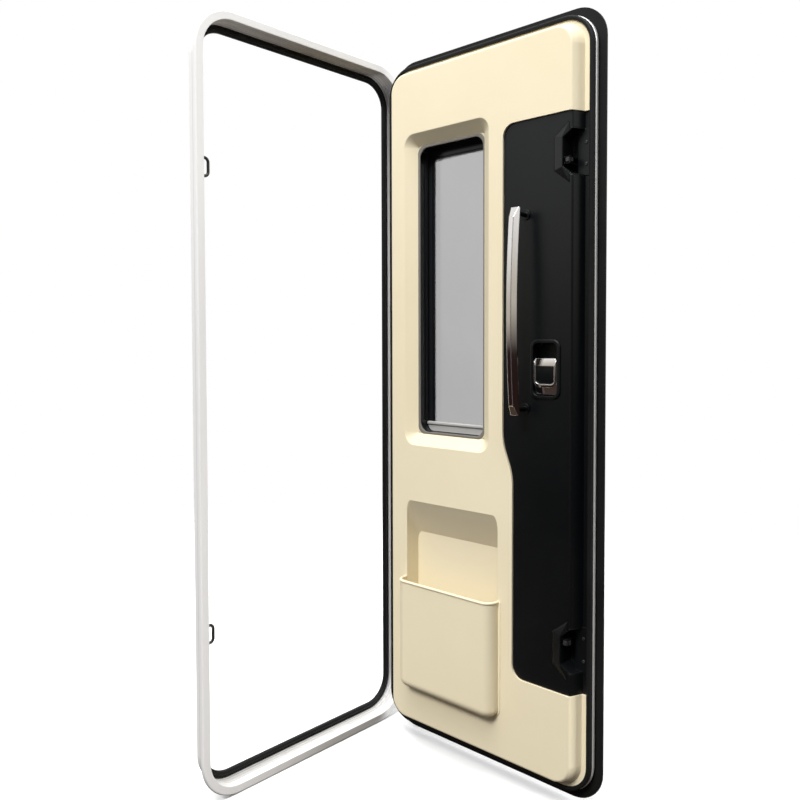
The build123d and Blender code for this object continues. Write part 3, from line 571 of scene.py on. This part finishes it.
# the rolled edge along the bin's mouth: its line is cut from a rounded sheet, then swept
def makeBinRim():
    startClean()
    inset = binSet["inset"]
    middle = onLeaf((binSet["left"] + binSet["right"]) / 2, binSet["back"], binSet["lip"])
    bpy.ops.mesh.primitive_plane_add(size=1, location=middle)
    rim = bpy.context.active_object
    rim.name = "binRim"
    rim.scale = (2 * (binSet["front"] - inset - binSet["back"]) / 1000,
                 (binSet["right"] - binSet["left"] - 2 * inset) / 1000, 1)
    bpy.ops.object.transform_apply(location=True, scale=True)
    bpy.ops.object.mode_set(mode="EDIT")
    bpy.ops.mesh.select_all(action="SELECT")
    bpy.ops.mesh.bevel(offset=(binSet["corner"] - inset) / 1000, segments=14, affect="VERTICES")
    bpy.ops.mesh.select_all(action="SELECT")
    bpy.ops.mesh.bisect(plane_co=middle, plane_no=(1, 0, 0), clear_outer=True)
    pick(rim, "EDGE", lambda edge: all(abs(vert.co.x - middle.x) < onLine for vert in edge.verts))
    bpy.ops.mesh.delete(type="EDGE")
    bpy.ops.object.mode_set(mode="OBJECT")
    bpy.ops.object.convert(target="CURVE")
    rim = bpy.context.active_object
    rim.data.bevel_depth = binSet["bead"] / 1000
    rim.data.bevel_resolution = 5
    rim.data.use_fill_caps = True
    bpy.ops.object.convert(target="MESH")
    rim = bpy.context.active_object
    dress(rim, finishes["cream_moulding"], "leaf")


# the thin foot that joins the bin to the panel, open at the mouth
def makeBinFlange():
    wide = binSet["flange"]
    low = binSet["low"] - wide
    high = binSet["lip"] + binSet["spare"]  # the spare length is cut off at the mouth
    middle = (low + high) / 2
    flange = roundedBand("binFlange", binSet["right"] - binSet["left"] + 2 * wide, high - low,
                         binSet["lowCorner"] + wide, wide + binSet["flangeLap"], binSet["flangeThick"])
    makeActive(flange)
    bpy.ops.object.mode_set(mode="EDIT")
    bpy.ops.mesh.select_all(action="SELECT")
    bpy.ops.mesh.bisect(plane_co=(0, (binSet["lip"] - middle) / 1000, 0), plane_no=(0, 1, 0),
                        clear_outer=True, use_fill=True)
    bpy.ops.object.mode_set(mode="OBJECT")
    softEdges(flange, binSet["flangeSoft"])
    x = (binSet["left"] + binSet["right"]) / 2
    setOn(flange, onLeaf(x, binSet["back"] - binSet["flangeSink"], middle), roomSide)
    dress(flange, finishes["cream_moulding"], "leaf")


makeBinRim()
makeBinFlange()
print("bin rim and foot made")

leverSet = {"x": -203.5, "low": 948.5, "high": 1014.5, "wide": 57.6, "topCorner": 6.0, "lowCorner": 15.0,
            "bar": 4.8, "padLow": 956.5, "padHigh": 996.5, "seat": 33.6, "thick": 4.8, "lean": 2.4,
            "round": 1.8, "inlaySeat": 33.8, "inlayThick": 1.7, "inlayLap": 1.0, "inlayCorner": 2.0,
            "inlaySoft": 0.4}


# a flat sheet whose upper and lower corners differ
def leverSheet(name, wide, tall, topCorner, lowCorner):
    sheet = roundedSheet(name, wide, tall, 0)
    for corner, side in ((topCorner, 1), (lowCorner, -1)):
        pick(sheet, "VERT", lambda vert: vert.co.y * side > tall / 2000 - onLine)
        bpy.ops.mesh.bevel(offset=corner / 1000, segments=10, affect="VERTICES")
    bpy.ops.mesh.select_mode(type="FACE")
    bpy.ops.mesh.select_all(action="SELECT")
    return sheet


# the bright ring round the lever's pad, heavy on top and slim below, and the dull inlay that fills it
def makeLeverRing():
    low, high, bar = leverSet["low"], leverSet["high"], leverSet["bar"]
    padLow, padHigh = leverSet["padLow"], leverSet["padHigh"]
    middle, tall = (low + high) / 2, high - low
    ring = leverSheet("leverRing", leverSet["wide"], tall, leverSet["topCorner"], leverSet["lowCorner"])
    bpy.ops.mesh.inset(thickness=bar / 1000)
    bpy.ops.transform.resize(value=(1, (padHigh - padLow) / (tall - 2 * bar), 1))
    bpy.ops.transform.translate(value=(0, ((padLow + padHigh) / 2 - middle) / 1000, 0))
    bpy.ops.mesh.delete(type="FACE")
    thicken(leverSet["thick"])
    makeActive(ring)
    bpy.ops.object.mode_set(mode="EDIT")
    pick(ring, "VERT", lambda vert: vert.co.z > onLine
         and vert.co.y > tall / 2000 - leverSet["topCorner"] / 1000)
    bpy.ops.transform.translate(value=(0, 0, -leverSet["lean"] / 1000))
    bpy.ops.object.mode_set(mode="OBJECT")
    softEdges(ring, leverSet["round"], steps=5)
    setOn(ring, onLeaf(leverSet["x"], leverSet["seat"], middle), roomSide)
    dress(ring, finishes["chrome"], "lever")
    lap = leverSet["inlayLap"]
    inlay = leverSheet("leverInlay", leverSet["wide"] - 2 * bar + lap, padHigh - padLow + lap,
                       leverSet["inlayCorner"], leverSet["lowCorner"] - bar)
    thicken(leverSet["inlayThick"])
    softEdges(inlay, leverSet["inlaySoft"], steps=2)
    setOn(inlay, onLeaf(leverSet["x"], leverSet["inlaySeat"], (padLow + padHigh) / 2), roomSide)
    dress(inlay, finishes["black_panel"], "lever")


makeLeverRing()
print("lever ring made")

screwSet = {"width": 8.0, "rise": 1.8, "round": 0.9, "slotLong": 4.8, "slotWide": 1.2, "slotDeep": 1.0}


# a round head with a cross recess, to be copied
def makeScrewPattern():
    startClean()
    bpy.ops.mesh.primitive_cylinder_add(vertices=28, radius=screwSet["width"] / 2000,
                                        depth=screwSet["rise"] / 1000, location=(0, 0, screwSet["rise"] / 2000))
    head = bpy.context.active_object
    head.name = "screwPattern"
    bpy.ops.object.transform_apply(location=True)
    bpy.ops.object.mode_set(mode="EDIT")
    pick(head, "FACE", lambda face: face.normal.z > 0.9)
    bpy.ops.mesh.bevel(offset=screwSet["round"] / 1000, segments=4, affect="EDGES")
    bpy.ops.object.mode_set(mode="OBJECT")
    for turn in (0, 90):
        startClean()
        bpy.ops.mesh.primitive_cube_add(size=1, location=(0, 0, screwSet["rise"] / 1000),
                                        rotation=(0, 0, math.radians(turn)))
        cutter = bpy.context.active_object
        cutter.scale = (screwSet["slotLong"] / 1000, screwSet["slotWide"] / 1000,
                        2 * screwSet["slotDeep"] / 1000)
        bpy.ops.object.transform_apply(location=True, rotation=True, scale=True)
        cutAway(head, cutter)
    return head


# where the screws sit, in millimetres: heights of what they hold, places there, and steps up or down
screwSpots = {
    "latch": {"heights": {"upperA": 1441.0, "upperB": 1488.0, "lowerA": 336.5, "lowerB": 387.8},
              "x": -286.0, "y": 4.0},
    "striker": {"heights": {"upper": 1449.0, "lower": 380.0}, "x": -312.8, "y": 30.0,
                "steps": {"A": 28.5, "B": -28.5}},
    "arm": {"spots": {"A": (250.0, 31.0), "B": (250.0, -31.0), "C": (278.0, 0.0)}, "y": -21.0},
    "bracket": {"x": 323.0, "y": -11.0, "steps": {"A": 32.0, "B": -32.0}},
    "hinges": {"upper": 1628.0, "middle": 788.0, "lower": 162.0},
}


def listScrews():
    latch, striker, arm, bracket, hinges = screwSpots.values()
    for label, height in latch["heights"].items():
        yield "latchScrew_" + label, onLeaf(latch["x"], latch["y"], height), roomSide, "leaf", "black_steel"
    for label, height in striker["heights"].items():
        for end, step in striker["steps"].items():
            spot = onFrame(striker["x"], striker["y"], height + step)
            yield "strikerScrew_" + label + end, spot, Vector((1, 0, 0)), "frame", "black_steel"
    for label, height in hinges.items():
        for end, (x, step) in arm["spots"].items():
            yield "armScrew_" + label + end, onLeaf(x, arm["y"], height + step), skinSide, "leaf", "steel"
        for end, step in bracket["steps"].items():
            spot = onFrame(bracket["x"], bracket["y"], height + step)
            yield "bracketScrew_" + label + end, spot, Vector((0, -1, 0)), "frame", "steel"


def makeScrews():
    pattern = makeScrewPattern()
    count = 0
    for name, spot, facing, body, slot in listScrews():
        screw = pattern.copy()
        screw.data = pattern.data.copy()
        screw.name = name
        bpy.context.scene.collection.objects.link(screw)
        setOn(screw, spot, facing)
        dress(screw, finishes[slot], body)
        count += 1
    bpy.data.objects.remove(pattern)
    print("screws:", count)


makeScrews()


# camera and light, set by the photograph
cameraSet = {"place": (-1.2927, -1.5167, 1.0459), "yaw": 46.811, "pitch": 1.98, "roll": -0.152,
             "focal": 786.4, "middleY": 367.9, "image": 800, "sensor": 36.0, "reach": 60.0}


def makeCamera():
    yaw = math.radians(cameraSet["yaw"])
    pitch = math.radians(cameraSet["pitch"])
    ahead = Vector((math.sin(yaw) * math.cos(pitch), math.cos(yaw) * math.cos(pitch), -math.sin(pitch)))
    right = Vector((math.cos(yaw), -math.sin(yaw), 0))
    up = right.cross(ahead)
    turn = Matrix((right, up, -ahead)).transposed().to_4x4()
    turn = turn @ Matrix.Rotation(math.radians(cameraSet["roll"]), 4, "Z")
    data = bpy.data.cameras.new("photoCamera")
    camera = bpy.data.objects.new("photoCamera", data)
    bpy.context.scene.collection.objects.link(camera)
    camera.matrix_world = Matrix.Translation(cameraSet["place"]) @ turn
    image, sensor = cameraSet["image"], cameraSet["sensor"]
    data.sensor_width = sensor
    data.lens = cameraSet["focal"] / image * sensor
    data.shift_y = (cameraSet["middleY"] - image / 2) / image
    data.clip_end = cameraSet["reach"]
    bpy.context.scene.camera = camera


lightSet = {
    "leftSky": {"kind": "SUN", "place": (-5.6, -0.8, 5.6), "aim": (0.0, -0.4, 0.2),
                "spread": 15.0, "power": 2.3},
    "ceiling": {"kind": "AREA", "place": (-1.2, -0.9, 4.6), "aim": (-0.3, -0.35, 0.9),
                "size": 3.0, "power": 165.0},
    "frontSky": {"kind": "SUN", "place": (3.0, -4.6, 2.6), "aim": (0.0, 0.0, 0.0),
                 "spread": 40.0, "power": 1.0},
    "lowFront": {"kind": "AREA", "place": (1.0, -1.8, 0.15), "aim": (-0.33, 0.0, 0.2),
                 "size": 0.8, "power": 28.0},
    "behind": {"kind": "AREA", "place": (1.5, 3.4, 3.0), "aim": (0.1, 0.0, 0.9),
               "size": 2.0, "power": 130.0},
}
roomLight = {"strength": (0.0, 0.42), "heights": (-0.5, 0.7)}  # below and above


def makeLights():
    for name, values in lightSet.items():
        data = bpy.data.lights.new(name, values["kind"])
        if values["kind"] == "SUN":
            data.angle = math.radians(values["spread"])
        else:
            data.size = values["size"]
        data.energy = values["power"]
        lamp = bpy.data.objects.new(name, data)
        bpy.context.scene.collection.objects.link(lamp)
        lamp.location = values["place"]
        lamp.visible_camera = False
        lamp.visible_transmission = False
        lamp.visible_glossy = name == "ceiling"
        ahead = Vector(values["aim"]) - Vector(values["place"])
        lamp.rotation_euler = ahead.to_track_quat("-Z", "Y").to_euler()


# white where it is seen or mirrored, and a dim room, lighter above, for the rest
def makeWorld():
    world = bpy.data.worlds.new("paleRoom")
    bpy.context.scene.world = world
    world.use_nodes = True
    tree = world.node_tree
    ground = tree.nodes["Background"]
    ground.inputs["Color"].default_value = (1.0, 1.0, 1.0, 1.0)
    way = addNode(tree, "ShaderNodeSeparateXYZ")
    tree.links.new(addNode(tree, "ShaderNodeTexCoord").outputs["Generated"], way.inputs[0])
    dim = spread(tree, way.outputs["Z"], *roomLight["strength"], *roomLight["heights"])
    path = addNode(tree, "ShaderNodeLightPath")
    seen = mathNode(tree, "MAXIMUM", path.outputs["Is Camera Ray"], path.outputs["Is Glossy Ray"])
    seen = mathNode(tree, "MAXIMUM", seen, path.outputs["Is Transmission Ray"])
    strength = addNode(tree, "ShaderNodeMix", {"B": 1.0}, data_type="FLOAT")
    tree.links.new(seen, strength.inputs["Factor"])
    tree.links.new(dim, strength.inputs["A"])
    tree.links.new(strength.outputs[0], ground.inputs["Strength"])


floorSet = {"radius": 6.0, "under": 0.0005, "fade": (1.6, 3.2), "rough": 0.9,
            "tones": ((0.90, 0.90, 0.90), (0.92, 0.92, 0.92)), "dimTone": (0.035, 0.025, 0.021)}


# pale where it is seen, and dim for bounced and mirrored rays
def makeFloor():
    startClean()
    bpy.ops.mesh.primitive_circle_add(vertices=96, radius=floorSet["radius"], fill_type="NGON",
                                      location=(0, 0, cadBox[0].z - floorSet["under"]))
    floor = bpy.context.active_object
    floor.name = "studioFloor"
    made, tree, shader = newMaterial("floorPale")
    place = addNode(tree, "ShaderNodeTexCoord").outputs["Object"]
    reach = addNode(tree, "ShaderNodeVectorMath", operation="LENGTH")
    tree.links.new(place, reach.inputs[0])
    tree.links.new(spread(tree, reach.outputs["Value"], 1.0, 0.0, *floorSet["fade"]), shader.inputs["Alpha"])
    speck = addNode(tree, "ShaderNodeTexNoise", {"Scale": 60.0, "Detail": 4.0})
    tree.links.new(place, speck.inputs["Vector"])
    pale = mixColours(tree, speck.outputs["Fac"], *floorSet["tones"])
    path = addNode(tree, "ShaderNodeLightPath")
    dim = mathNode(tree, "MAXIMUM", path.outputs["Is Diffuse Ray"], path.outputs["Is Glossy Ray"])
    dim = mathNode(tree, "SUBTRACT", dim, path.outputs["Is Transmission Ray"])  # pale again through the pane
    tree.links.new(mixColours(tree, dim, pale, floorSet["dimTone"]), shader.inputs["Base Color"])
    shader.inputs["Specular IOR Level"].default_value = 0.0
    shader.inputs["Roughness"].default_value = floorSet["rough"]
    floor.data.materials.append(made)


hallSet = {"radius": 4.6, "middleY": -0.3, "low": -4.0, "high": 3.0, "floorTone": (0.020, 0.011, 0.009),
           "wallTone": (0.56, 0.52, 0.455), "topTone": (1.0, 1.0, 1.0), "wallFrom": (0.75, 1.25),
           "topFrom": (1.4, 2.5), "waver": 0.35, "waverStretch": (1.0, 1.0, 0.12),
           "dimSide": (-0.6, -0.8, 0.0), "dimFrom": (3.1, 4.3), "dimShare": 0.85,
           "lowGlow": (((0.1, 0.995, 0.0), 3.85, 4.15, (0.80, 0.75, 0.78)),  # way, start, end and tone
                       ((0.82, -0.57, 0.0), 4.2, 4.5, (0.34, 0.31, 0.33)),
                       ((-0.98, -0.18, 0.0), 4.3, 4.55, (0.30, 0.26, 0.28)))}


# a hall round the object that only mirrored rays meet, dark below and white above, as in a showroom
def makeHall():
    startClean()
    depth = hallSet["high"] - hallSet["low"]
    bpy.ops.mesh.primitive_cylinder_add(vertices=96, radius=hallSet["radius"], depth=depth,
                                        end_fill_type="NOTHING",
                                        location=(0, hallSet["middleY"], hallSet["low"] + depth / 2))
    hall = bpy.context.active_object
    hall.name = "mirrorHall"
    bpy.ops.object.transform_apply(location=True)
    made, tree, shader = newMaterial("hallTone")
    place = addNode(tree, "ShaderNodeTexCoord").outputs["Object"]
    split = addNode(tree, "ShaderNodeSeparateXYZ")
    tree.links.new(place, split.inputs[0])
    tall = addNode(tree, "ShaderNodeVectorMath", {1: hallSet["waverStretch"]}, operation="MULTIPLY")
    tree.links.new(place, tall.inputs[0])
    streak = addNode(tree, "ShaderNodeTexNoise", {"Scale": 1.7, "Detail": 3.0, "Roughness": 0.6})
    tree.links.new(tall.outputs[0], streak.inputs["Vector"])
    waver = spread(tree, streak.outputs["Fac"], -hallSet["waver"], hallSet["waver"], *noiseRange)
    height = mathNode(tree, "ADD", split.outputs["Z"], waver)
    wall = spread(tree, height, 0, 1, *hallSet["wallFrom"])
    tone = mixColours(tree, wall, hallSet["floorTone"], hallSet["wallTone"])
    tone = mixColours(tree, spread(tree, height, 0, 1, *hallSet["topFrom"]), tone, hallSet["topTone"])
    away = addNode(tree, "ShaderNodeVectorMath", {1: hallSet["dimSide"]}, operation="DOT_PRODUCT")
    tree.links.new(place, away.inputs[0])
    dim = spread(tree, away.outputs["Value"], 0, hallSet["dimShare"], *hallSet["dimFrom"])
    tone = mixColours(tree, dim, tone, hallSet["floorTone"])
    low = spread(tree, height, 1, 0, *hallSet["wallFrom"])
    for way, start, end, glow in hallSet["lowGlow"]:  # lighter sides keep chrome edges bright low down
        toward = addNode(tree, "ShaderNodeVectorMath", {1: way}, operation="DOT_PRODUCT")
        tree.links.new(place, toward.inputs[0])
        lit = mathNode(tree, "MULTIPLY", spread(tree, toward.outputs["Value"], 0, 1, start, end), low)
        tone = mixColours(tree, lit, tone, glow)
    shader.inputs["Base Color"].default_value = (0, 0, 0, 1)
    shader.inputs["Specular IOR Level"].default_value = 0.0
    tree.links.new(tone, shader.inputs["Emission Color"])
    shader.inputs["Emission Strength"].default_value = 1.0
    hall.data.materials.append(made)
    for kind in ("camera", "diffuse", "transmission", "shadow", "volume_scatter"):
        setattr(hall, "visible_" + kind, False)


makeCamera()
makeLights()
makeWorld()
makeFloor()
makeHall()
bpy.context.scene.view_settings.view_transform = "Standard"
print("camera, light and floor set")
